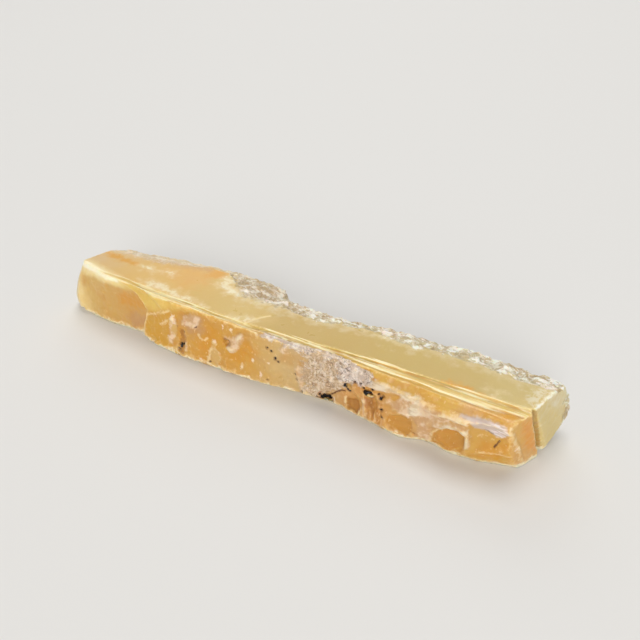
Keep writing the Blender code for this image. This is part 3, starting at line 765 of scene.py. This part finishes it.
# The lilac slab on the right bevel: towards its right end, the near-white streaks along its striations are partly pale
# stone and partly painted highlight.
streaks = ramp(stone_noise(0.4, 2, seed=12, stretch=(9, 1, 1)), 0.44, 0.58)
lilac_with_highlights = wash(tint(206, 190, 180), tint(242, 232, 232), times(streaks, ramp(x_mm, 36.6, 38.6)))
colour = wash(colour, lilac_with_highlights, times(ramp(frayed(measured("slab"), fray, 0.8), -0.3, 0.3), 0.92))
print("patches painted:", len(nodes), "nodes")

# %% [markdown]
# Veins, cracks and pale edges go on top of the patches; the edge wash is partly white chips and
# partly painted glow. A vein is wherever the distance from its line is small. The rind goes on
# last, since it grew over everything else, and then the black specks of the vugs.

# %% Veins and edges
strip_share = times(ramp(vein_at, -0.2, 0.1), ramp(seam_at, 0.15, -0.1), facing_up)
left_of = calc("SUBTRACT", 1.0, right_part)
on_ledge = calc("MAXIMUM", left_of, ramp(middle_at, -0.3, 0.1))
bare = calc("SUBTRACT", 1.0, worn_share)
ledges = times(strip_share, on_ledge, bare)
colour = wash(colour, tint(220, 192, 116), times(ledges, 0.8))
colour = wash(colour, tint(236, 220, 166), times(ledges, ramp(streaky, 0.46, 0.58), 0.75))
colour = wash(colour, tint(210, 172, 94), times(ledges, ramp(streaky, 0.40, 0.34), 0.5))
fading = times(ramp(x_mm, 0.0, 2.5), calc("MULTIPLY_ADD", ramp(x_mm, 37, 30), 0.6, 0.4))
patchy = ramp(stone_noise(3.0, 3, seed=15, stretch=(3, 1, 1)), 0.36, 0.60)
for at, width, present in ((seam_at, 0.25, 1.0), (vein_at, 0.26, times(left_of, bare)), (middle_at, 0.28, fading)):
    shadow_share = times(ramp(calc("ABSOLUTE", calc("ADD", at, 0.40)), 0.20, 0.05), patchy, facing_up, present)
    colour = wash(colour, tint(192, 156, 78), times(shadow_share, 0.5))
    vein_share = times(ramp(calc("ABSOLUTE", at), width, width * 0.3), calc("MULTIPLY_ADD", patchy, 0.5, 0.5), present)
    colour = wash(colour, tint(246, 238, 198), times(vein_share, facing_up, 0.9))
colour = wash(colour, tint(238, 216, 160), times(ramp(measured("fork"), 0.35, 0.08), 0.75))
crack_at = frayed(measured("crack"), fine, 0.7)
colour = wash(colour, tint(238, 214, 168), times(ramp(crack_at, 0.32, 0.04), ramp(medium, 0.36, 0.54), 0.6))
calm = calc("MULTIPLY_ADD", calc("MAXIMUM", worn_share, white_share), -0.8, 1.0)
# Pale wash on proud edges: partly white chips, partly painted glow of light coming through the thin edges.
edge_glow_and_chip_share = times(ramp(frayed(measured("proud"), fine, 0.20), 0.03, 0.28), calm, 0.65)
edge_glow_and_chip_colour = wash(tint(244, 222, 172), tint(236, 230, 206), times(ramp(x_mm, 36, 40), ramp(behind, 0.3, 1.0)))
colour = wash(colour, edge_glow_and_chip_colour, edge_glow_and_chip_share)
on_end_edge = times(ramp(x_mm, 40, 42), ramp(behind, 0.4, 1.0), calm)
end_edge = times(ramp(frayed(measured("proud"), fine, 0.12), 0.08, 0.24), on_end_edge)
colour = wash(colour, tint(240, 236, 220), times(end_edge, ramp(fray, 0.42, 0.54), 0.9))
colour = wash(colour, tint(178, 138, 58), times(ramp(frayed(measured("gap"), fine, 0.3), 0.62, 0.42), 0.75))
# Pale cream bands along the foot and the bottom edges: painted glow, light that comes out of the translucent stone at
# its thin foot.
foot_glow_share = times(ramp(frayed(z_mm, medium, 1.8), 1.5, 0.9), facing_front, 0.55)
colour = wash(colour, tint(238, 208, 150), times(foot_glow_share, 0.7))
rim_glow_share = times(ramp(frayed(z_mm, medium, 1.6), 1.1, 0.6), calc("SUBTRACT", 1.0, facing_up), 0.9)
colour = wash(colour, tint(252, 236, 202), times(rim_glow_share, ramp(fray, 0.38, 0.50)))

# %% Rind and specks
left_part = times(ramp(frayed(x_mm, medium, 3.0), -11.5, -19.0), calc("MULTIPLY_ADD", facing_up, 0.6, 0.4))
dull_part = times(ramp(x_mm, -16.0, -13.0), ramp(x_mm, 2.0, -4.0))
rind_at = frayed(measured("rind"), fray, 3.0)
soft_part = calc("MULTIPLY_ADD", dull_part, 0.7, left_part)
rind_share = ramp(rind_at, calc("MULTIPLY_ADD", soft_part, -0.8, -0.1), calc("MULTIPLY_ADD", soft_part, 1.6, 0.35))
grains = stone_noise(1.8, 4, seed=13, swirl=0.8)
flecks = stone_noise(1.1, 5, seed=14, stretch=(1.6, 1, 1), roughness=0.65, swirl=0.4)
rind_colour = wash(tint(204, 191, 152), tint(198, 174, 140), times(ramp(rind_at, 0.4, 1.8), ramp(broad, 0.40, 0.58)))
grain_share = times(ramp(grains, 0.48, 0.62), calc("MULTIPLY_ADD", dull_part, 0.4, 0.6))
rind_colour = wash(rind_colour, tint(176, 154, 118), grain_share)
rind_colour = wash(rind_colour, tint(176, 148, 112), times(dull_part, 0.6))
# Dark and near-white flecks in the rind: partly its own grains, partly painted shade in the gaps between them and
# painted glints on their tops.
dark_gaps_and_shade_share = times(ramp(flecks, 0.47, 0.38), calc("SUBTRACT", 1.0, left_part), 0.6)
rind_colour = wash(rind_colour, tint(168, 142, 102), dark_gaps_and_shade_share)
pale_grains_and_glints = calc("MAXIMUM", ramp(flecks, 0.50, 0.58), times(crackle, facing_up, 0.5))
rind_colour = wash(rind_colour, tint(252, 249, 238), times(pale_grains_and_glints, calc("MULTIPLY_ADD", dull_part, -0.35, 0.9)))
rind_colour = wash(rind_colour, tint(228, 206, 170), times(left_part, 0.6))
colour = wash(colour, rind_colour, times(rind_share, 0.92))
colour = wash(colour, tint(250, 238, 224), times(ramp(frayed(measured("frosting"), fray, 1.6), -0.1, 0.3), 0.85))
black_at = frayed(measured("black"), fine, 0.25)
colour = wash(colour, tint(120, 72, 34), times(ramp(black_at, -0.30, -0.02), 0.6))
colour = wash(colour, tint(8, 4, 3), ramp(black_at, -0.08, 0.03))
plug(shader.inputs["Base Color"], colour)
print("colour finished:", len(nodes), "nodes")

# %% [markdown]
# Wax and opal glow because light goes in at one place and comes out at another. The shader calls
# that subsurface scattering, and red light travels furthest. The sawn top is almost polished, the
# broken faces are satin, and the rind is matt. A bump adds the grain that is finer than the
# skin. Both ends broke as smooth as glass, so the bump is nearly silent there.

# %% Glow, gloss and grain
shader.inputs["Subsurface Weight"].default_value = 1.0
shader.inputs["Subsurface Radius"].default_value = (1.0, 0.8, 0.6)
shader.inputs["Subsurface Scale"].default_value = 0.8 * MM
shader.inputs["IOR"].default_value = 1.45
matt = calc("MAXIMUM", rind_share, worn_share)
gloss = calc("MULTIPLY_ADD", broad, 0.24, 0.20)
plug(shader.inputs["Roughness"], calc("MULTIPLY_ADD", matt, 0.14, gloss))
grain = nodes.new("ShaderNodeBump")
grain.inputs["Distance"].default_value = 0.16 * MM
grain.inputs["Strength"].default_value = 0.7
sand = times(stone_noise(0.30, 4, seed=20, roughness=0.65), calc("MULTIPLY_ADD", matt, 1.0, 0.15))
chips = calc("ABSOLUTE", calc("SUBTRACT", stone_noise(1.3, 3, seed=21, roughness=0.5), 0.5))
uneven = calc("MULTIPLY_ADD", times(chips, calc("SUBTRACT", 1.0, facing_up)), -1.0, calc("MULTIPLY", medium, 0.3))
glassy = calc("MAXIMUM", ramp(x_mm, -23, -27), ramp(x_mm, 39.5, 41.5))
quiet = calc("MULTIPLY_ADD", times(glassy, calc("SUBTRACT", 1.0, rind_share)), -0.85, 1.0)
plug(grain.inputs["Height"], times(calc("ADD", uneven, sand), quiet))
plug(shader.inputs["Normal"], grain.outputs["Normal"])
stone.data.materials.clear()
stone.data.materials.append(amber_stone)
print("material finished:", len(nodes), "nodes")

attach(stone, "root")
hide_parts("slice")

# %% [markdown]
# ## A pale floor and soft light
#
# The floor is a plain pale sheet just under the stone. One large soft lamp hangs above and a
# little behind, so the sawn top shines and the thin edges glow, and a weak lamp fills the front.


# %% Floor and lights
def make_floor():
    bm = bmesh.new()
    bmesh.ops.create_grid(bm, x_segments=1, y_segments=1, size=12.0)
    bmesh.ops.translate(bm, vec=(0, 0, -0.05 * MM), verts=bm.verts)
    mesh = bpy.data.meshes.new("floor")
    bm.to_mesh(mesh)
    bm.free()
    floor = bpy.data.objects.new("floor", mesh)
    bpy.context.scene.collection.objects.link(floor)
    paper = bpy.data.materials.new("pale_paper")
    paper.use_nodes = True
    paper.node_tree.nodes["Principled BSDF"].inputs["Base Color"].default_value = tint(222, 220, 216)
    paper.node_tree.nodes["Principled BSDF"].inputs["Roughness"].default_value = 0.8
    mesh.materials.append(paper)
    return floor


def soft_lamp(name, place, aim, size, power, colour=(1, 1, 1)):
    lamp = bpy.data.lights.new(name, "AREA")
    lamp.size, lamp.energy, lamp.color = size, power, colour
    holder = bpy.data.objects.new(name, lamp)
    holder.location = place
    holder.rotation_euler = (Vector(aim) - Vector(place)).to_track_quat("-Z", "Y").to_euler()
    holder.visible_camera = False
    bpy.context.scene.collection.objects.link(holder)
    return holder


make_floor()
soft_lamp("overhead", (-0.16, 0.80, 3.4), (0, 0, 0), 1.8, 52.0)
soft_lamp("back_window", (-1.7, 2.85, 2.25), (0, 0, 0), 2.0, 22.0)
soft_lamp("front_fill", (1.6, -3.7, 1.6), (0, 0, 0), 2.2, 110.0)
world = bpy.data.worlds.new("studio")
world.use_nodes = True
world.node_tree.nodes["Background"].inputs["Color"].default_value = (1, 1, 1, 1)
world.node_tree.nodes["Background"].inputs["Strength"].default_value = 0.40
bpy.context.scene.world = world
bpy.context.scene.view_settings.view_transform = "Standard"

# %% [markdown]
# ## Camera
#
# The camera looks down at the slice from the front right. A direction and a distance say where
# it stands, and to_track_quat turns it to face the point it aims at.

# %% Camera
ELEVATION, AZIMUTH, DISTANCE = math.radians(34), math.radians(31), 0.127
aim = Vector((-1.8, 14.18, 0)) * MM
level = math.cos(ELEVATION)
towards_camera = Vector((math.sin(AZIMUTH) * level, -math.cos(AZIMUTH) * level, math.sin(ELEVATION)))
lens = bpy.data.cameras.new("camera")
lens.lens, lens.sensor_width, lens.clip_start = 38.0, 36.0, 0.001
camera = bpy.data.objects.new("camera", lens)
camera.location = aim + towards_camera * DISTANCE
camera.rotation_euler = (-towards_camera).to_track_quat("-Z", "Y").to_euler()
bpy.context.scene.collection.objects.link(camera)
bpy.context.scene.camera = camera
print("camera at, mm:", [round(c / MM, 1) for c in camera.location])
